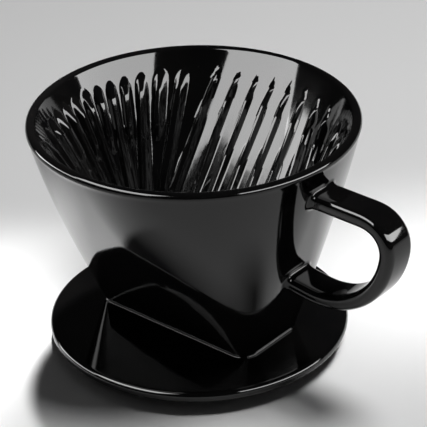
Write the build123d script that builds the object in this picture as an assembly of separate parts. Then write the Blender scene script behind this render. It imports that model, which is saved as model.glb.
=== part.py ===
from build123d import *
import math
import os

# Ceramic pour-over dripper: a cone that is round at the rim and a narrow wedge at the foot,
# ribbed inside, on a round saucer plate, with a strap handle on one narrow end.
# +Z is up and +X points along the handle. The origin is on the cone's axis, in the plane of
# the plate's underside, which is where the dripper rests on a mug. Millimetres.

# Cone, outside
rim_radius = 58.0
rim_height = 83.5
lip_thickness = 3.6
foot_half_length = 34.4
foot_half_width = 15.8
foot_corner = 5.5
end_bow = 0.9
face_bow = 3.2
corner_bow = 4.0

# Saucer plate and the ring under it
plate_radius = 54.0
plate_thickness = 4.0
plate_edge_round = 1.8
ring_radius = 33.0
ring_thickness = 4.0
ring_height = 5.0
ring_edge_round = 1.2

# Cone, inside
slot_half_length = 26.0
slot_half_width = 3.5
slot_corner = 3.0
slot_rise = 11.0
floor_thickness = 4.5
drain_radius = 2.5
drain_pitch = 14.0
drain_count = 3
well_half_length = 23.0
well_half_width = 7.5
well_corner = 5.0

# Ribs inside the cone
rib_top_gap = 6.5
rib_nose_length = 6.0
rib_height = 2.6
rib_height_at_floor = 0.6
end_rib_height = 2.0
end_rib_height_at_floor = 0.5
rib_root = 1.0
face_rib_pitch = 7.35
face_rib_width = 3.8
face_rib_count = 8
end_rib_width = 4.6
end_rib_step = 12.0
end_rib_count = 13
end_fan_inset = 2.0
long_end_rib_stop = 15.0
short_end_rib_stop = 37.0

# Handle: a flat strap along a path with two rounded corners. Its ends and corners hang a drop
# below the rim, and a corner stands a reach out from the wall: (reach, drop)
handle_width = 13.0
handle_thickness = 5.8
handle_edge_round = 2.7
handle_upper_drop = 13.3
handle_lower_drop = 48.0
handle_upper_corner = (32.03, 14.0)
handle_lower_corner = (38.11, 53.2)
handle_upper_bend = 10.0
handle_lower_bend = 28.0

# Slip fillets, where the pieces were luted together
slip_reach = 2.0
slip_height = 3.0
slip_skin = 0.2
foot_slip_reach = 0.8
foot_slip_height = 0.9

# Places worked out from the sizes above
lip_z = rim_height - lip_thickness / 2
mouth_radius = rim_radius - lip_thickness
foot_z = plate_thickness
floor_z = foot_z + slot_rise
well_top_z = floor_z - floor_thickness
rib_top_z = rim_height - rib_top_gap
rib_full_z = rib_top_z - rib_nose_length
handle_upper_z = rim_height - handle_upper_drop
handle_lower_z = rim_height - handle_lower_drop

# Workshop values: overshoot of cutting tools, sections in the outer loft, and half the angle
# that a straight side keeps where the section has become a full circle
overshoot = 1.0
outer_steps = 8
side_angle = math.radians(1.5)


def mix(low, high, t):
    """The value t of the way from low to high."""
    return low + (high - low) * t


def bow(t):
    """Outward swelling between foot and lip: 0 at both ends, 1 a little above the middle."""
    return 1.5 * math.sqrt(3) * t * (1 - t * t)


def section(z, half_length, half_width, corner):
    """A rounded rectangle at height z. With three equal sizes it is an exact circle."""
    core_x = half_length - corner
    core_y = half_width - corner
    near = corner * math.sin(side_angle)
    far = corner * math.cos(side_angle)
    diagonal = corner * math.sqrt(0.5)
    edges = []
    for sx, sy in ((1, 1), (-1, 1), (-1, -1), (1, -1)):
        on_end = (sx * (core_x + far), sy * (core_y + near), z)
        on_face = (sx * (core_x + near), sy * (core_y + far), z)
        on_corner = (sx * (core_x + diagonal), sy * (core_y + diagonal), z)
        edges.append(Edge.make_three_point_arc(on_end, on_corner, on_face))
    for s in (1, -1):
        end_low = (s * (core_x + far), -core_y - near, z)
        end_high = (s * (core_x + far), core_y + near, z)
        edges.append(Edge.make_three_point_arc(end_low, (s * half_length, 0, z), end_high))
        face_left = (-core_x - near, s * (core_y + far), z)
        face_right = (core_x + near, s * (core_y + far), z)
        edges.append(Edge.make_three_point_arc(face_left, (0, s * half_width, z), face_right))
    return Wire(edges)


def outer_sizes(z, grow=0.0):
    """Half length, half width and corner radius of the outside at height z."""
    t = (z - foot_z) / (lip_z - foot_z)
    half_length = mix(foot_half_length, rim_radius, t) + end_bow * bow(t)
    half_width = mix(foot_half_width, rim_radius, t) + face_bow * bow(t)
    corner = mix(foot_corner, rim_radius, t) + corner_bow * bow(t)
    return half_length + grow, half_width + grow, corner + grow


def inner_sizes(z, grow=0.0):
    """The same three sizes of the hollow, whose walls are straight from slot to mouth."""
    t = (z - floor_z) / (lip_z - floor_z)
    half_length = mix(slot_half_length, mouth_radius, t)
    half_width = mix(slot_half_width, mouth_radius, t)
    corner = mix(slot_corner, mouth_radius, t)
    return half_length + grow, half_width + grow, corner + grow


def make_outer():
    """The cone's outside as a full solid, foot to lip."""
    heights = [mix(foot_z, lip_z, i / outer_steps) for i in range(outer_steps + 1)]
    return Solid.make_loft([section(z, *outer_sizes(z)) for z in heights])


def make_hollow():
    """What the straight inner walls enclose, carried on past the mouth."""
    wires = [section(z, *inner_sizes(z)) for z in (floor_z, lip_z)]
    wires.append(section(lip_z + overshoot, *inner_sizes(lip_z)))
    return Solid.make_loft(wires, ruled=True)


def make_rib_zone(height, height_at_floor):
    """The space that ribs of this height may fill: from inside the wall to the ribs' crests."""
    low = floor_z - overshoot
    roots = Solid.make_loft(
        [section(z, *inner_sizes(z, rib_root)) for z in (low, lip_z)], ruled=True)
    crest_rise = (
        (low - overshoot, -height_at_floor),
        (rib_full_z, -height),
        (rib_top_z, 0.0),
        (lip_z + overshoot, rib_root / 2),
    )
    crests = Solid.make_loft(
        [section(z, *inner_sizes(min(z, lip_z), rise)) for z, rise in crest_rise], ruled=True)
    return roots - crests


def rib_blade(plane, width, low_z, low_width, depth, both=False):
    """A flat blade, pointed at its top, whose outline lies in the plane given."""
    shoulder_z = rib_top_z - 0.3 * (rib_top_z - floor_z)
    outline = Polyline(
        (-low_width / 2, low_z),
        (low_width / 2, low_z),
        (width / 2, shoulder_z),
        (0, rib_top_z + lip_thickness),
        (-width / 2, shoulder_z),
        close=True,
    )
    return extrude(plane * make_face(outline), amount=depth, both=both)


def make_ribs():
    """Parallel ribs on the two wide faces, and a fan of ribs on each narrow end."""
    face_zone = make_rib_zone(rib_height, rib_height_at_floor)
    end_zone = make_rib_zone(end_rib_height, end_rib_height_at_floor)
    ribs = []
    for i in range(face_rib_count):
        x = (i - (face_rib_count - 1) / 2) * face_rib_pitch
        plane = Plane(origin=(x, 0, 0), x_dir=(1, 0, 0), z_dir=(0, -1, 0))
        low_z = floor_z - overshoot / 2
        blade = rib_blade(plane, face_rib_width, low_z, face_rib_width, rim_radius, True)
        ribs.append(blade & face_zone)
    for side in (0, 180):
        for i in range(end_rib_count):
            stop = short_end_rib_stop if i % 2 else long_end_rib_stop
            angle = math.radians(side + (i - (end_rib_count - 1) / 2) * end_rib_step)
            outward = Vector(math.cos(angle), math.sin(angle), 0)
            fan_x = (slot_half_length - end_fan_inset) * math.cos(math.radians(side))
            plane = Plane(
                origin=Vector(fan_x, 0, 0) + outward * end_fan_inset,
                x_dir=Vector(0, 0, 1).cross(outward),
                z_dir=outward,
            )
            blade = rib_blade(plane, end_rib_width, floor_z + stop, end_rib_width / 2, rim_radius)
            ribs.append(blade & end_zone)
    return [solid for rib in ribs for solid in rib.solids()]


def make_filter_cone(outer):
    """The cone: ribbed walls, lip, slot floor with its drain holes, and the well below it."""
    wall = outer - make_hollow()
    lip_centre = (mouth_radius + rim_radius) / 2
    lip_round = Plane.XZ * Pos(lip_centre, lip_z) * Circle(lip_thickness / 2)
    lip_half = Plane.XZ * Pos(lip_centre, lip_z + lip_thickness / 2) * Rectangle(
        lip_thickness, lip_thickness)
    lip = revolve(lip_round & lip_half, Axis.Z)
    well = loft([
        Pos(0, 0, z) * RectangleRounded(2 * well_half_length, 2 * well_half_width, well_corner)
        for z in (foot_z - overshoot, well_top_z)
    ])
    drains = [
        Pos((i - (drain_count - 1) / 2) * drain_pitch, 0, floor_z - floor_thickness / 2)
        * Cylinder(drain_radius, floor_thickness + 2 * overshoot)
        for i in range(drain_count)
    ]
    cone = (wall + lip + make_ribs()) - well
    return cone - drains


def make_plate():
    """The saucer plate, open in the middle for the coffee."""
    disc = Pos(0, 0, plate_thickness / 2) * Cylinder(plate_radius, plate_thickness)
    disc = fillet(disc.edges(), plate_edge_round)
    opening = RectangleRounded(2 * well_half_length, 2 * well_half_width, well_corner)
    return disc - extrude(opening, amount=plate_thickness + overshoot)


def make_ring():
    """The ring that drops into the mug's mouth and keeps the plate centred."""
    below = Pos(0, 0, -ring_height / 2)
    ring = below * Cylinder(ring_radius, ring_height)
    ring -= below * Cylinder(ring_radius - ring_thickness, ring_height)
    return fillet(ring.edges().group_by(Axis.Z)[0], ring_edge_round)


def handle_corner(reach, drop):
    """A corner of the handle's centre line before it is rounded."""
    z = rim_height - drop
    return outer_sizes(z)[0] + reach, 0, z


def handle_path():
    """The strap's centre line, from inside the upper wall round to inside the lower wall."""
    upper_x = outer_sizes(handle_upper_z)[0] - 2 * slip_height
    lower_x = outer_sizes(handle_lower_z)[0] - 2 * slip_height
    return FilletPolyline(
        (upper_x, 0, handle_upper_z),
        handle_corner(*handle_upper_corner),
        handle_corner(*handle_lower_corner),
        (lower_x, 0, handle_lower_z),
        radius=(handle_upper_bend, handle_lower_bend),
    )


def make_handle(outer):
    """The strap, cut to the cone's outside at both ends."""
    path = handle_path()
    across = Plane(origin=path @ 0, x_dir=(0, 1, 0), z_dir=path % 0)
    strap = sweep(
        across * RectangleRounded(handle_width, handle_thickness, handle_edge_round), path=path)
    return strap - outer


def make_handle_slip(outer, handle, at_start):
    """The fillet of slip round one end of the handle."""
    path = handle_path()
    inside = path @ (0 if at_start else 1)
    along = path % 0 if at_start else -(path % 1)
    height = handle_upper_z if at_start else handle_lower_z
    wall_x = outer_sizes(height)[0]
    to_wall = (wall_x - inside.X) / along.X
    sketches = []
    for distance, reach in ((-slip_height, 2 * slip_reach), (slip_height, slip_skin)):
        plane = Plane(origin=inside + along * (to_wall + distance), x_dir=(0, 1, 0), z_dir=along)
        sketches.append(plane * RectangleRounded(
            handle_width + 2 * reach, handle_thickness + 2 * reach, handle_edge_round + reach))
    return loft(sketches) - outer - handle


def make_foot_slip(outer):
    """The fillet of slip round the cone's foot, on the plate."""
    top_z = foot_z + foot_slip_height
    collar = Solid.make_loft(
        [
            section(foot_z, *outer_sizes(foot_z, foot_slip_reach)),
            section(top_z, *outer_sizes(top_z, slip_skin)),
        ],
        ruled=True,
    )
    return collar - outer


def main():
    outer = make_outer()
    handle = make_handle(outer)
    parts = {
        "filter_cone": make_filter_cone(outer),
        "base_plate": make_plate(),
        "locating_ring": make_ring(),
        "handle": handle,
        "upper_handle_slip": make_handle_slip(outer, handle, True),
        "lower_handle_slip": make_handle_slip(outer, handle, False),
        "foot_slip": make_foot_slip(outer),
    }
    os.makedirs("parts", exist_ok=True)
    for name, shape in parts.items():
        export_step(shape, f"parts/{name}.step")
        print(f"{name}: {len(shape.solids())} solid(s), {shape.volume / 1000:.1f} cm3")


main()
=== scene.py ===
import math

import bmesh
import bpy
import numpy as np
from mathutils import Matrix, Vector


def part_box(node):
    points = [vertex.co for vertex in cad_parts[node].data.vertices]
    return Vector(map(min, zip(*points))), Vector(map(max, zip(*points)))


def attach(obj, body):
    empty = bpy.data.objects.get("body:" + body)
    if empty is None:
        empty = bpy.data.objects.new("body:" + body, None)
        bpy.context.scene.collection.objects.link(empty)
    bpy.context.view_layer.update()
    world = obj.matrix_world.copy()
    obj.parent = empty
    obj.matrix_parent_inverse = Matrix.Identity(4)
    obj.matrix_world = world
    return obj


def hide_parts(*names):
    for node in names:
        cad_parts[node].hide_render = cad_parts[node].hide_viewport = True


# Looks for a black glazed pour-over dripper. Sizes are millimetres and become metres in
# add_mesh(). +Z is up, +X points along the handle, z = 0 is the underside of the plate.

MM = 0.001
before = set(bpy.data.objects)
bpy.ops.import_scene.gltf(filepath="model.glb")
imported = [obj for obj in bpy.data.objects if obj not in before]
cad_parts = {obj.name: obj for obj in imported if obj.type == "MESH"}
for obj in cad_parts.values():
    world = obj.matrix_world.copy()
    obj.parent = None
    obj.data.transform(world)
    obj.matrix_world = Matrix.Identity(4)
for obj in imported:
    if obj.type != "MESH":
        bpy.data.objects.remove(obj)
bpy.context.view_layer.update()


def box_mm(node):
    """Lowest and highest corner of a CAD node, in millimetres."""
    low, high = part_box(node)
    return [v / MM for v in low], [v / MM for v in high]


# Cone, outside
cone_low, cone_high = box_mm("filter_cone")
rim_radius = cone_high[1]
rim_height = cone_high[2]
foot_z = cone_low[2]
lip_radius = 1.8
foot_half_length = 34.4
foot_half_width = 15.8
foot_corner = 5.5
end_bow = 0.9
face_bow = 3.2
corner_bow = 4.0

# Cone, inside
slot_half_length = 26.0
slot_half_width = 3.5
slot_corner = 3.0
floor_z = 15.0
well_top_z = 10.5
drain_radius = 2.5
drain_round = 0.22
drain_places = (-14.0, 0.0, 14.0)
well_half_length = 23.0
well_half_width = 7.5
well_corner = 5.0
lip_ease = 40.0

# Lip: where the outer wall hands over to the round, and where the round's outer half ends
lip_start_angle = -15.0
lip_start_share = 1.6
lip_crest_angle = 84.0

# Ribs
end_fan_inset = 2.0
rib_fan_x = slot_half_length - end_fan_inset
rib_top_z = 77.0
rib_nose_length = 6.0
rib_nose_round = 0.3
rib_height = 2.6
rib_height_at_floor = 0.6
rib_flat = 0.25
face_rib_count = 8
face_rib_pitch = 7.35
face_rib_half = 2.0
face_rib_tip_half = 0.9
face_rib_taper = 4.0
face_rib_widening = 30.0
end_rib_half = 2.6
end_rib_share = 0.78
end_rib_taper = 2.5
end_rib_foot_share = 0.6
end_rib_step = 12.0
end_rib_turns = range(-6, 7)
end_rib_reach = 60.0
long_rib_stop = 30.0
short_rib_stop = 52.0
rib_fade = 9.0
rib_fall = rib_top_z - rib_nose_length - floor_z

# Plate and ring
plate_low, plate_high = box_mm("base_plate")
plate_radius = plate_high[1]
plate_round = 1.8
ring_low, ring_high = box_mm("locating_ring")
ring_radius = ring_high[1]
ring_bottom = ring_low[2]
ring_wall = 4.0
ring_round = 1.2

# Handle
handle_half_width = 6.5
handle_half_thickness = 2.9
handle_corner = 2.3
handle_crown = 0.12
# The centre line's corners as (x, z), and the radius at the two middle ones
handle_points = ((48.0, 70.2), (86.895, 69.5), (81.2, 30.3), (38.8, 35.5))
handle_bends = (10.0, 28.0)

# Slip fillets
slip_reach = 2.0
slip_height = 3.0
slip_strap_share = 0.86
foot_slip_reach = 0.8
foot_slip_height = 0.9
slip_depth = 0.3

# Mesh fineness: points round an outline, steps along a surface, and the angle in degrees past
# which an edge is shaded sharp. Columns are parallel within face_half_length of the middle.
sharp_angle = 38.0
face_half_length = 28.5
face_columns = 54
fan_columns = 116
inner_steps = 88
outer_columns = 90
outer_steps = 60
lip_steps = 13
lip_inner_steps = 12
drain_columns = 40
drain_steps = 5
well_columns = 24
plate_columns = 300
plate_edge_steps = 14
ring_columns = 220
ring_edge_steps = 8
strap_columns = 26
strap_bend_steps = 40
strap_spacing = 0.8
strap_smoothing = 5.0
handle_slip_steps = 14
foot_slip_columns = 110
foot_slip_steps = 10
floor_columns = 96

# Stage and lamps, in metres, and the point that the softboxes face
floor_radius = 1.5
softbox_distance = 0.95
softbox_target = Vector((0, 0, 0.05))
floor_light_distance = 1.1
pool_distance = 1.0

lip_z = rim_height - lip_radius
lip_centre = rim_radius - lip_radius
mouth_radius = rim_radius - 2 * lip_radius


# ---------------------------------------------------------------- outlines and meshes


def mix(low, high, t):
    """The value t of the way from low to high."""
    return low + (high - low) * t


def bow(t):
    """Outward swelling between foot and lip, 0 at both ends."""
    return 1.5 * math.sqrt(3) * t * (1 - t * t)


def outer_sizes(z):
    """Half length, half width and corner radius of the cone's outside at height z."""
    t = (z - foot_z) / (lip_z - foot_z)
    return (
        mix(foot_half_length, rim_radius, t) + end_bow * bow(t),
        mix(foot_half_width, rim_radius, t) + face_bow * bow(t),
        mix(foot_corner, rim_radius, t) + corner_bow * bow(t),
    )


def inner_sizes(z):
    """The same three sizes of the hollow, whose walls are straight from slot to mouth."""
    t = (z - floor_z) / (lip_z - floor_z)
    return (
        mix(slot_half_length, mouth_radius, t),
        mix(slot_half_width, mouth_radius, t),
        mix(slot_corner, mouth_radius, t),
    )


def loop(half_length, half_width, corner, columns):
    """A rounded rectangle as points evenly spaced round each quarter, anticlockwise from +X."""
    core_x = half_length - corner
    core_y = half_width - corner
    bend = corner * math.pi / 2
    total = core_y + bend + core_x
    points = []
    for k in range(4 * columns):
        quarter, step = divmod(k, columns)
        share = step / columns if quarter % 2 == 0 else 1 - step / columns
        way = share * total
        if way < core_y:
            x, y = half_length, way
        elif way < core_y + bend:
            angle = (way - core_y) / corner
            x, y = core_x + corner * math.cos(angle), core_y + corner * math.sin(angle)
        else:
            x, y = core_x - (way - core_y - bend), half_width
        points.append((x if quarter in (0, 3) else -x, y if quarter < 2 else -y))
    return points


def circle(radius, columns):
    """A circle as points, anticlockwise from +X."""
    turns = [2 * math.pi * k / columns for k in range(columns)]
    return [(radius * math.cos(a), radius * math.sin(a)) for a in turns]


def at_height(points, z):
    """A flat outline lifted to height z."""
    return [(x, y, z) for x, y in points]


class Shape:
    """Vertices and faces being gathered for one mesh."""

    def __init__(self):
        self.verts = []
        self.faces = []

    def ring(self, points):
        """Adds a closed row of points, and returns their numbers."""
        first = len(self.verts)
        self.verts.extend(points)
        return list(range(first, first + len(points)))

    def bridge(self, a, b):
        """Joins two closed rows of the same length with quads."""
        n = len(a)
        for i in range(n):
            j = (i + 1) % n
            self.faces.append((a[i], a[j], b[j], b[i]))

    def skin(self, rows):
        """Adds rows of points and bridges each to the next. Returns the rows' numbers."""
        rings = [self.ring(row) for row in rows]
        for a, b in zip(rings, rings[1:]):
            self.bridge(a, b)
        return rings

    def fill(self, *rings):
        """Closes a flat gap bounded by these rows with triangles."""
        bm = bmesh.new()
        edges = []
        back = {}
        for ring in rings:
            made = []
            for number in ring:
                vert = bm.verts.new(self.verts[number])
                back[vert] = number
                made.append(vert)
            for a, b in zip(made, made[1:] + made[:1]):
                edges.append(bm.edges.new((a, b)))
        bmesh.ops.triangle_fill(bm, use_beauty=True, use_dissolve=False, edges=edges)
        for face in bm.faces:
            self.faces.append(tuple(back[v] for v in face.verts))
        bm.free()


def add_mesh(name, shape, material, node=None, staged=False):
    mesh = bpy.data.meshes.new(name)
    mesh.from_pydata([Vector(p) * MM for p in shape.verts], [], shape.faces)
    bm = bmesh.new()
    bm.from_mesh(mesh)
    bmesh.ops.recalc_face_normals(bm, faces=bm.faces)
    bm.to_mesh(mesh)
    bm.free()
    mesh.shade_smooth()
    mesh.set_sharp_from_angle(angle=math.radians(sharp_angle))
    mesh.materials.append(material)
    obj = bpy.data.objects.new(name, mesh)
    bpy.context.scene.collection.objects.link(obj)
    if staged:
        return
    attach(obj, "root")
    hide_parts(node)


# ---------------------------------------------------------------- materials


def new_material(name):
    """An empty node material, with its Principled shader and a maker of linked nodes."""
    material = bpy.data.materials.new(name)
    material.use_nodes = True
    tree = material.node_tree
    shader = tree.nodes["Principled BSDF"]

    def node(kind, links=(), **values):
        made = tree.nodes.new(kind)
        for key, value in values.items():
            setattr(made, key, value)
        for socket, source in links:
            if isinstance(source, bpy.types.NodeSocket):
                tree.links.new(source, made.inputs[socket])
            else:
                made.inputs[socket].default_value = source
        return made

    return material, tree, shader, node


def black_glaze(name="black_glaze", bare_below=None):
    """Glossy black glaze: faint cloudy depth, small pinholes and a barely rippled surface.

    With bare_below, faces lower than that height, in metres, are wiped bare to pale clay.
    """
    material, tree, shader, node = new_material(name)
    place = node("ShaderNodeTexCoord").outputs["Object"]
    clouds = node("ShaderNodeTexNoise", [("Vector", place), ("Scale", 42.0), ("Detail", 5.0)])
    tone = node("ShaderNodeValToRGB", [("Fac", clouds.outputs["Fac"])])
    tone.color_ramp.elements[0].position = 0.35
    tone.color_ramp.elements[0].color = (0.0022, 0.0022, 0.0025, 1)
    tone.color_ramp.elements[1].position = 0.75
    tone.color_ramp.elements[1].color = (0.0050, 0.0046, 0.0044, 1)
    specks = node("ShaderNodeTexVoronoi", [("Vector", place), ("Scale", 260.0)])
    speck_mask = node("ShaderNodeMapRange", [("Value", specks.outputs["Distance"])])
    speck_mask.inputs["From Min"].default_value = 0.02
    speck_mask.inputs["From Max"].default_value = 0.07
    speck_mask.inputs["To Min"].default_value = 1.0
    speck_mask.inputs["To Max"].default_value = 0.0
    colour = node(
        "ShaderNodeMix",
        [(0, speck_mask.outputs["Result"]), (6, tone.outputs["Color"]), (7, (0.02, 0.018, 0.016, 1))],
        data_type="RGBA",
    ).outputs[2]
    gloss = node("ShaderNodeTexNoise", [("Vector", place), ("Scale", 85.0), ("Detail", 3.0)])
    rough = node("ShaderNodeMapRange", [("Value", gloss.outputs["Fac"])])
    rough.inputs["To Min"].default_value = 0.035
    rough.inputs["To Max"].default_value = 0.085
    rough_out = rough.outputs["Result"]
    ripple = node("ShaderNodeTexNoise", [("Vector", place), ("Scale", 120.0), ("Detail", 2.0)])
    bump = node("ShaderNodeBump", [("Height", ripple.outputs["Fac"]), ("Strength", 0.05)])
    bump.inputs["Distance"].default_value = 0.00025
    if bare_below is not None:
        height = node("ShaderNodeSeparateXYZ", [(0, place)]).outputs["Z"]
        edge = node("ShaderNodeTexNoise", [("Vector", place), ("Scale", 180.0)])
        wobble = node(
            "ShaderNodeMath", [(0, edge.outputs["Fac"]), (1, 0.0004)], operation="MULTIPLY")
        level = node("ShaderNodeMath", [(0, height), (1, wobble.outputs[0])], operation="ADD")
        bare = node("ShaderNodeMapRange", [("Value", level.outputs[0])])
        bare.inputs["From Min"].default_value = bare_below
        bare.inputs["From Max"].default_value = bare_below + 0.0002
        bare.inputs["To Min"].default_value = 1.0
        bare.inputs["To Max"].default_value = 0.0
        grain = node("ShaderNodeTexNoise", [("Vector", place), ("Scale", 900.0), ("Detail", 6.0)])
        clay = node("ShaderNodeValToRGB", [("Fac", grain.outputs["Fac"])])
        clay.color_ramp.elements[0].color = (0.42, 0.36, 0.29, 1)
        clay.color_ramp.elements[1].color = (0.66, 0.60, 0.51, 1)
        colour = node(
            "ShaderNodeMix",
            [(0, bare.outputs["Result"]), (6, colour), (7, clay.outputs["Color"])],
            data_type="RGBA",
        ).outputs[2]
        rough_out = node(
            "ShaderNodeMix",
            [(0, bare.outputs["Result"]), (2, rough_out), (3, 0.8)],
        ).outputs[0]
    tree.links.new(colour, shader.inputs["Base Color"])
    tree.links.new(rough_out, shader.inputs["Roughness"])
    tree.links.new(bump.outputs["Normal"], shader.inputs["Normal"])
    shader.inputs["IOR"].default_value = 1.5
    return material


# ---------------------------------------------------------------- cone


def inner_outline(z):
    """The hollow's outline at height z: columns of constant x on the faces, a fan at the ends.

    Returns points and the inward direction in which each may be pushed.
    """
    half_length, half_width, corner = inner_sizes(z)
    core_x = half_length - corner
    core_y = half_width - corner
    fan_x = min(face_half_length, half_length - end_fan_inset)
    quarter = []
    for k in range(fan_columns + 1):
        angle = math.pi / 2 * k / fan_columns
        c, s = math.cos(angle), math.sin(angle)
        side = (half_length - fan_x) / c if c > 1e-9 else 1e9
        top = half_width / s if s > 1e-9 else 1e9
        if side * s <= core_y:
            reach = side
        elif fan_x + top * c <= core_x:
            reach = top
        else:
            dx, dy = fan_x - core_x, -core_y
            along = dx * c + dy * s
            reach = -along + math.sqrt(along * along - dx * dx - dy * dy + corner * corner)
        quarter.append((fan_x + reach * c, reach * s, -c, -s))
    for k in range(1, face_columns + 1):
        x = fan_x * (1 - k / face_columns)
        y = half_width
        if x > core_x:
            y = core_y + math.sqrt(corner * corner - (x - core_x) ** 2)
        quarter.append((x, y, 0.0, -1.0))
    right = quarter[:-1]
    left = [(-x, y, -dx, dy) for x, y, dx, dy in reversed(quarter)]
    top_half = right + left
    bottom_half = [(-x, -y, -dx, -dy) for x, y, dx, dy in top_half[:-1]]
    return np.array(top_half[:-1] + bottom_half)


def rib_shape(u):
    """A rounded crest: 1 in the middle, 0 where u reaches 1, smooth at both."""
    u = np.clip((np.abs(u) - rib_flat) / (1 - rib_flat), 0, 1)
    return (1 - u * u) ** 2


def smooth_step(value):
    """0 below 0, 1 above 1, smooth between."""
    value = min(max(value, 0.0), 1.0)
    return value * value * (3 - 2 * value)


def soft_min(a, b, blend):
    """The smaller of two values, with the corner between them rounded off."""
    return (a + b - math.sqrt((a - b) ** 2 + blend ** 2)) / 2


def rib_push(points, z):
    """How far the ribs stand in from the wall at these points of the outline at height z."""
    push = np.zeros(len(points))
    below = rib_top_z - z
    if below <= 0:
        return push
    x, y = points[:, 0], points[:, 1]
    rise = rib_height * below / rib_nose_length
    fall = mix(rib_height, rib_height_at_floor, (below - rib_nose_length) / rib_fall)
    height = max(0.0, soft_min(rise, fall, rib_nose_round))
    grown = min(1.0, below / face_rib_widening)
    half = mix(face_rib_tip_half, face_rib_half, grown) * math.sqrt(min(1.0, below / face_rib_taper))
    for i in range(face_rib_count):
        place = (i - (face_rib_count - 1) / 2) * face_rib_pitch
        push = np.maximum(push, height * rib_shape((x - place) / half))
    for side in (1, -1):
        dx = side * x - rib_fan_x
        reach = np.hypot(dx, y)
        angle = np.degrees(np.arctan2(y, dx))
        for i in end_rib_turns:
            stop = short_rib_stop if i % 2 else long_rib_stop
            fade = smooth_step((z - stop) / rib_fade)
            if fade <= 0:
                continue
            across = reach * np.sin(np.radians(angle - i * end_rib_step))
            ahead = np.abs(angle - i * end_rib_step) < end_rib_reach
            half = end_rib_half * math.sqrt(min(1.0, below / end_rib_taper))
            half *= mix(end_rib_foot_share, 1.0, fade)
            bump = np.where(ahead, rib_shape(across / half), 0)
            push = np.maximum(push, height * end_rib_share * fade * bump)
    return push


def inner_rows():
    """The lip's inner half, then the ribbed wall down to the floor, in rows.

    The wall leans by a different amount round the mouth, and meets the lip's round smoothly.
    """
    top = inner_outline(lip_z)
    below = inner_outline(lip_z - 1)
    out = top[:, :2] / mouth_radius
    lean = np.arctan(((top[:, :2] - below[:, :2]) * out).sum(axis=1))
    rows = []
    for i in range(lip_inner_steps + 1):
        angle = math.pi / 2 + (math.pi / 2 - lean) * i / lip_inner_steps
        radius = lip_centre + lip_radius * np.cos(angle)
        z = lip_z + lip_radius * np.sin(angle)
        rows.append([(x * r, y * r, h) for (x, y), r, h in zip(out, radius, z)])
    thick = lip_radius * (1 - np.cos(lean))
    for i in range(inner_steps + 1):
        z = mix(lip_z, floor_z, i / inner_steps)
        outline = inner_outline(z)
        push = rib_push(outline, z)
        extra = thick * smooth_step(1 - (lip_z - z) / lip_ease)
        x = outline[:, 0] + outline[:, 2] * push - out[:, 0] * np.cos(lean) * extra
        y = outline[:, 1] + outline[:, 3] * push - out[:, 1] * np.cos(lean) * extra
        rows.append([(a, b, z + c) for a, b, c in zip(x, y, np.sin(lean) * extra)])
    return rows


def make_cone(material):
    """The cone as one closed mesh: outside, lip, ribbed inside, drains, well and foot."""
    shape = Shape()
    rows = []
    start = math.radians(lip_start_angle)
    wall_top = lip_z + lip_start_share * lip_radius * math.sin(start)
    for i in range(outer_steps + 1):
        z = mix(foot_z, wall_top, i / outer_steps)
        rows.append(at_height(loop(*outer_sizes(z), outer_columns), z))
    for i in range(lip_steps + 1):
        angle = mix(start, math.radians(lip_crest_angle), i / lip_steps)
        round_row = circle(lip_centre + lip_radius * math.cos(angle), 4 * outer_columns)
        rows.append(at_height(round_row, lip_z + lip_radius * math.sin(angle)))
    outer = shape.skin(rows)
    inner = shape.skin(inner_rows())
    sew_crest(shape, outer[-1], inner[0])
    drains_top = []
    drains_low = []
    for place in drain_places:
        rows = []
        for i in range(drain_steps + 1):
            angle = math.pi / 2 * i / drain_steps
            radius = drain_radius + drain_round * (1 - math.sin(angle))
            z = floor_z - drain_round * (1 - math.cos(angle))
            rows.append([(x + place, y, z) for x, y in circle(radius, drain_columns)])
        straight = circle(drain_radius, drain_columns)
        rows.append([(x + place, y, well_top_z) for x, y in straight])
        drain = shape.skin(rows)
        drains_top.append(drain[0])
        drains_low.append(drain[-1])
    shape.fill(inner[-1], *drains_top)
    well = shape.skin([
        at_height(loop(well_half_length, well_half_width, well_corner, well_columns), z)
        for z in (well_top_z, foot_z)
    ])
    shape.fill(well[0], *drains_low)
    shape.fill(outer[0], well[1])
    add_mesh("cone", shape, material, "filter_cone")


def sew_crest(shape, outer, inner):
    """Joins the two rows on the lip's crest, whose points are spaced differently."""
    def turn(number):
        x, y, _ = shape.verts[number]
        return math.atan2(y, x) % (2 * math.pi)

    a = sorted(outer, key=turn)
    b = sorted(inner, key=turn)
    i = j = 0
    while i < len(a) or j < len(b):
        next_a = turn(a[(i + 1) % len(a)]) + (2 * math.pi if i + 1 >= len(a) else 0)
        next_b = turn(b[(j + 1) % len(b)]) + (2 * math.pi if j + 1 >= len(b) else 0)
        if j >= len(b) or (i < len(a) and next_a <= next_b):
            shape.faces.append((a[i % len(a)], a[(i + 1) % len(a)], b[j % len(b)]))
            i += 1
        else:
            shape.faces.append((a[i % len(a)], b[(j + 1) % len(b)], b[j % len(b)]))
            j += 1


# ---------------------------------------------------------------- plate, ring


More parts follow.
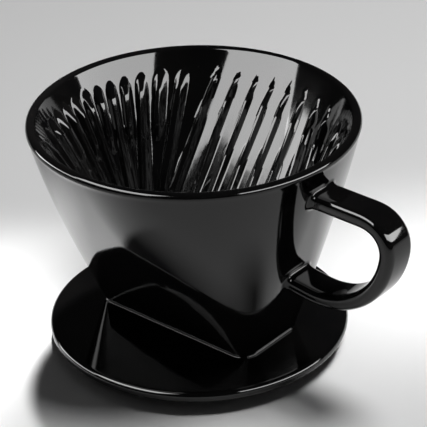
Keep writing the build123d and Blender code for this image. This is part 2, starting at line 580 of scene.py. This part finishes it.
def make_plate(material):
    """The saucer plate with its rounded edge and the opening below the well."""
    shape = Shape()
    columns = plate_columns
    high, low = plate_high[2], plate_low[2]
    guard = 0.25
    rows = [at_height(circle(plate_radius - plate_round - guard, columns), high)]
    for i in range(plate_edge_steps + 1):
        angle = math.pi / 2 * i / plate_edge_steps
        radius = plate_radius - plate_round + plate_round * math.sin(angle)
        z = high - plate_round + plate_round * math.cos(angle)
        rows.append(at_height(circle(radius, columns), z))
    for i in range(plate_edge_steps + 1):
        angle = math.pi / 2 * i / plate_edge_steps
        radius = plate_radius - plate_round + plate_round * math.cos(angle)
        z = low + plate_round - plate_round * math.sin(angle)
        rows.append(at_height(circle(radius, columns), z))
    rows.append(at_height(circle(plate_radius - plate_round - guard, columns), low))
    body = shape.skin(rows)
    hole = shape.skin([
        at_height(loop(well_half_length, well_half_width, well_corner, well_columns), z)
        for z in (high, low)
    ])
    shape.fill(body[0], hole[0])
    shape.fill(body[-1], hole[1])
    add_mesh("plate", shape, material, "base_plate")


def make_ring(material):
    """The locating ring, rounded at its lower edges, with its top against the plate."""
    shape = Shape()
    columns = ring_columns
    inner = ring_radius - ring_wall
    rows = [circle(ring_radius, columns)]
    heights = [ring_high[2]]
    for i in range(ring_edge_steps + 1):
        angle = math.pi / 2 * i / ring_edge_steps
        rows.append(circle(ring_radius - ring_round * (1 - math.cos(angle)), columns))
        heights.append(ring_bottom + ring_round * (1 - math.sin(angle)))
    for i in range(ring_edge_steps + 1):
        angle = math.pi / 2 * i / ring_edge_steps
        rows.append(circle(inner + ring_round * (1 - math.sin(angle)), columns))
        heights.append(ring_bottom + ring_round * (1 - math.cos(angle)))
    rows.append(circle(inner, columns))
    heights.append(ring_high[2])
    body = shape.skin([at_height(row, z) for row, z in zip(rows, heights)])
    shape.bridge(body[-1], body[0])
    add_mesh("ring", shape, material, "locating_ring")


# ---------------------------------------------------------------- handle


def handle_line():
    """Points and headings along the strap's centre line in the XZ plane, with eased bends."""
    corners = [np.array(p) for p in handle_points]
    path = [corners[0]]
    for corner, before, after, bend in (
        (corners[1], corners[0], corners[2], handle_bends[0]),
        (corners[2], corners[1], corners[3], handle_bends[1]),
    ):
        into = (corner - before) / np.linalg.norm(corner - before)
        out = (after - corner) / np.linalg.norm(after - corner)
        turn = math.acos(float(into @ out))
        cut = bend * math.tan(turn / 2)
        start = corner - into * cut
        side = np.array([into[1], -into[0]])
        centre = start + side * bend
        for i in range(strap_bend_steps + 1):
            angle = turn * i / strap_bend_steps
            path.append(centre - side * bend * math.cos(angle) + into * bend * math.sin(angle))
    path.append(corners[3])
    path = np.array(path)
    way = np.concatenate([[0], np.cumsum(np.linalg.norm(np.diff(path, axis=0), axis=1))])
    count = int(way[-1] / strap_spacing)
    even = np.linspace(0, way[-1], count + 1)
    points = np.stack([np.interp(even, way, path[:, k]) for k in (0, 1)], axis=1)
    steps = np.diff(points, axis=0)
    heading = np.unwrap(np.arctan2(steps[:, 1], steps[:, 0]))
    half = int(strap_smoothing / strap_spacing / 2)
    padded = np.concatenate([np.full(half, heading[0]), heading, np.full(half, heading[-1])])
    kernel = np.ones(2 * half + 1) / (2 * half + 1)
    eased = np.convolve(padded, kernel, "valid")
    length = even[1] - even[0]
    walked = np.stack([np.cos(eased), np.sin(eased)], axis=1) * length
    smooth = np.concatenate([points[:1], points[0] + np.cumsum(walked, axis=0)])
    share = np.linspace(0, 1, len(smooth))[:, None]
    smooth += (points[-1] - smooth[-1]) * share
    ends = np.concatenate([eased[:1], (eased[1:] + eased[:-1]) / 2, eased[-1:]])
    return smooth, ends


def strap_outline():
    """The strap's section with faces slightly crowned: points, and outward directions."""
    flat = loop(handle_half_width, handle_half_thickness, handle_corner, strap_columns)
    squeeze = 1 - handle_crown / handle_half_thickness
    outline = []
    for x, y in flat:
        crown = handle_crown * (1 - (x / handle_half_width) ** 2)
        outline.append((x, y * squeeze + math.copysign(crown, y)))
    core_x = handle_half_width - handle_corner
    core_y = handle_half_thickness - handle_corner
    outward = []
    for x, y in flat:
        dx = x - min(max(x, -core_x), core_x)
        dy = y - min(max(y, -core_y), core_y)
        size = math.hypot(dx, dy)
        outward.append((dx / size, dy / size))
    return outline, outward


def make_handle(material):
    """The strap, swept along its line, with both ends just inside the cone's wall."""
    shape = Shape()
    points, headings = handle_line()
    outline, _ = strap_outline()
    rows = []
    for (x, z), heading in zip(points, headings):
        up_x, up_z = -math.sin(heading), math.cos(heading)
        rows.append([(x + up_x * v, u, z + up_z * v) for u, v in outline])
    rings = shape.skin(rows)
    shape.fill(rings[0])
    shape.fill(rings[-1])
    add_mesh("strap_handle", shape, material, "handle")


def wall_x(y, z):
    """Where the outside of the cone's +X end is, at this y and z."""
    half_length, half_width, corner = outer_sizes(z)
    core_x = half_length - corner
    core_y = half_width - corner
    over = max(abs(y) - core_y, 0.0)
    return core_x + math.sqrt(corner * corner - over * over)


def fillet_curve(start, corner, end, steps):
    """Points of a curve from start to end that leaves and arrives pointing at the corner."""
    start, corner, end = np.array(start), np.array(corner), np.array(end)
    shares = [i / steps for i in range(steps + 1)]
    return [(1 - t) ** 2 * start + 2 * t * (1 - t) * corner + t * t * end for t in shares]


def make_handle_slip(name, node, at_start, material):
    """The concave fillet of slip round one end of the strap."""
    points, headings = handle_line()
    x0, z0 = points[0] if at_start else points[-1]
    heading = headings[0] if at_start else headings[-1] + math.pi
    out_x, out_z = math.cos(heading), math.sin(heading)
    up_x, up_z = -out_z, out_x
    outline, outward = strap_outline()
    columns = []
    for (u, v), (nu, nv) in zip(outline, outward):
        px, pz = x0 + up_x * v, z0 + up_z * v
        reach = 0.0
        for _ in range(6):
            z = pz + out_z * reach
            reach = (wall_x(u, z) - px) / out_x
        hit = (px + out_x * reach, u, pz + out_z * reach)
        high = slip_height * slip_strap_share
        on_strap = (hit[0] + out_x * high, u, hit[2] + out_z * high)
        side_y = u + nu * slip_reach
        side_z = hit[2] + nv * up_z * slip_reach
        on_wall = (wall_x(side_y, side_z), side_y, side_z)
        curve = fillet_curve(on_strap, hit, on_wall, handle_slip_steps)
        under_strap = np.array(on_strap) - slip_depth * np.array((up_x * nv, nu, up_z * nv))
        under_wall = np.array(on_wall) - np.array((slip_depth, 0, 0))
        inside = np.array(hit) - slip_depth * np.array((up_x * nv + 1, nu, up_z * nv))
        columns.append([*curve, under_wall, inside, under_strap])
    shape = Shape()
    rings = shape.skin([[tuple(c[k]) for c in columns] for k in range(len(columns[0]))])
    shape.bridge(rings[-1], rings[0])
    add_mesh(name, shape, material, node)


def make_foot_slip(material):
    """The concave fillet of slip between the cone's foot and the plate."""
    shape = Shape()
    columns = foot_slip_columns
    top_z = foot_z + foot_slip_height
    on_wall = loop(*outer_sizes(top_z), columns)
    corner = loop(*outer_sizes(foot_z), columns)
    sizes = [v + foot_slip_reach for v in outer_sizes(foot_z)]
    on_plate = loop(*sizes, columns)
    inside = loop(*[v - slip_depth for v in outer_sizes(foot_z)], columns)
    inside_top = loop(*[v - slip_depth for v in outer_sizes(top_z)], columns)
    curves = [
        fillet_curve((*w, top_z), (*c, foot_z), (*p, foot_z), foot_slip_steps)
        for w, c, p in zip(on_wall, corner, on_plate)
    ]
    rows = [[tuple(curve[k]) for curve in curves] for k in range(foot_slip_steps + 1)]
    rows.append(at_height(on_plate, foot_z - slip_depth))
    rows.append(at_height(inside, foot_z - slip_depth))
    rows.append(at_height(inside_top, top_z))
    rings = shape.skin(rows)
    shape.bridge(rings[-1], rings[0])
    add_mesh("foot_fillet", shape, material, "foot_slip")


# ---------------------------------------------------------------- stage, light, camera


def make_floor():
    """A plain pale floor that the dripper stands on."""
    material, tree, shader, node = new_material("floor")
    place = node("ShaderNodeTexCoord").outputs["Object"]
    grain = node("ShaderNodeTexNoise", [("Vector", place), ("Scale", 6.0)])
    tone = node("ShaderNodeValToRGB", [("Fac", grain.outputs["Fac"])])
    tone.color_ramp.elements[0].color = (0.80, 0.80, 0.80, 1)
    tone.color_ramp.elements[1].color = (0.83, 0.83, 0.83, 1)
    tree.links.new(tone.outputs["Color"], shader.inputs["Base Color"])
    shader.inputs["Roughness"].default_value = 0.9
    shader.inputs["Specular IOR Level"].default_value = 0.1
    shape = Shape()
    edge = circle(floor_radius / MM, floor_columns)
    shape.fill(shape.ring(at_height(edge, ring_bottom)))
    add_mesh("floor", shape, material, staged=True)


def direction(azimuth, elevation):
    """The unit direction at this azimuth and elevation, in degrees."""
    a, e = math.radians(azimuth), math.radians(elevation)
    return Vector((math.cos(a) * math.cos(e), math.sin(a) * math.cos(e), math.sin(e)))


def aim(obj, place, target):
    """Puts a lamp at a place and turns it to the target."""
    obj.location = place
    obj.rotation_euler = (Vector(target) - Vector(place)).to_track_quat("-Z", "Y").to_euler()


def softbox(name, azimuth, elevation, width, height, radiance, roll):
    """A rectangular soft light, width by height in degrees, that only the glaze mirrors."""
    lamp = bpy.data.lights.new(name, "AREA")
    lamp.shape = "RECTANGLE"
    lamp.size = 2 * softbox_distance * math.tan(math.radians(width / 2))
    lamp.size_y = 2 * softbox_distance * math.tan(math.radians(height / 2))
    lamp.energy = radiance * math.pi * lamp.size * lamp.size_y
    obj = bpy.data.objects.new(name, lamp)
    bpy.context.scene.collection.objects.link(obj)
    place = softbox_target + direction(azimuth, elevation) * softbox_distance
    aim(obj, place, softbox_target)
    obj.rotation_euler.rotate_axis("Z", math.radians(roll))
    obj.visible_diffuse = False


def floor_light(name, azimuth, elevation, size, irradiance):
    """A soft light from above that lights the floor and isn't mirrored in the glaze."""
    lamp = bpy.data.lights.new(name, "AREA")
    lamp.shape = "DISK"
    lamp.size = size
    lamp.energy = irradiance * math.pi * floor_light_distance ** 2
    obj = bpy.data.objects.new(name, lamp)
    bpy.context.scene.collection.objects.link(obj)
    aim(obj, direction(azimuth, elevation) * floor_light_distance, (0, 0, 0))
    obj.visible_glossy = False


def floor_pool(name, azimuth, elevation, target, radius, energy):
    """A spotlight on part of the floor that isn't mirrored in the glaze."""
    lamp = bpy.data.lights.new(name, "SPOT")
    lamp.energy = energy
    lamp.spot_size = 2 * math.atan(radius / pool_distance)
    lamp.spot_blend = 1.0
    lamp.shadow_soft_size = 0.04
    obj = bpy.data.objects.new(name, lamp)
    bpy.context.scene.collection.objects.link(obj)
    aim(obj, Vector(target) + direction(azimuth, elevation) * pool_distance, target)
    obj.visible_glossy = False


def make_lights():
    """Soft lights at both sides, light for the floor from behind, and a dim surround."""
    world = bpy.data.worlds.new("surround")
    bpy.context.scene.world = world
    world.use_nodes = True
    background = world.node_tree.nodes["Background"]
    background.inputs["Color"].default_value = (1, 1, 1, 1)
    background.inputs["Strength"].default_value = 0.02
    softbox("left_softbox", -112, 48, 48, 26, 9.5, 4)
    softbox("far_left_softbox", -152.4, 15.6, 41, 12, 9.5, 37.5)
    softbox("right_softbox", 14, 24.8, 62, 17, 9.0, -17)
    floor_light("back_light", 46, 72, 0.45, 2.5)
    floor_pool("left_pool", 125, 70, (-0.062, -0.050, 0), 0.066, 100.0)
    floor_pool("back_pool", 80, 60, (0.045, 0.085, 0), 0.064, 40.0)


def make_camera():
    """A long lens that looks down on the face of the cone, with the handle at the right."""
    azimuth, elevation, roll = math.radians(41), math.radians(29.65), math.radians(-1.66)
    aim_yaw, aim_pitch = math.radians(-0.488), math.radians(-0.152)
    distance = 0.707
    target = Vector((0, 0, 0.042))
    back = Vector((
        math.sin(azimuth) * math.cos(elevation),
        -math.cos(azimuth) * math.cos(elevation),
        math.sin(elevation),
    ))
    right = Vector((math.cos(azimuth), math.sin(azimuth), 0))
    up = back.cross(right)
    across = right * math.cos(roll) + up * math.sin(roll)
    upward = up * math.cos(roll) - right * math.sin(roll)
    straight = Matrix((across, upward, back))
    seen = Vector((math.tan(aim_yaw), math.tan(aim_pitch), -1)).normalized()
    turned = Vector((0, 0, -1)).rotation_difference(seen).to_matrix()
    rotation = (turned @ straight).transposed()
    camera = bpy.data.cameras.new("camera")
    camera.sensor_width = 36
    camera.lens = 168.2
    camera.clip_start = 0.01
    obj = bpy.data.objects.new("camera", camera)
    bpy.context.scene.collection.objects.link(obj)
    obj.matrix_world = Matrix.Translation(target + back * distance) @ rotation.to_4x4()
    bpy.context.scene.camera = obj


glaze = black_glaze()
ring_glaze = black_glaze("ring_glaze", bare_below=(ring_bottom + 0.5) * MM)
make_cone(glaze)
make_plate(glaze)
make_ring(ring_glaze)
make_handle(glaze)
make_handle_slip("upper_fillet", "upper_handle_slip", True, glaze)
make_handle_slip("lower_fillet", "lower_handle_slip", False, glaze)
make_foot_slip(glaze)
make_floor()
make_lights()
make_camera()
bpy.context.scene.view_settings.view_transform = "Standard"
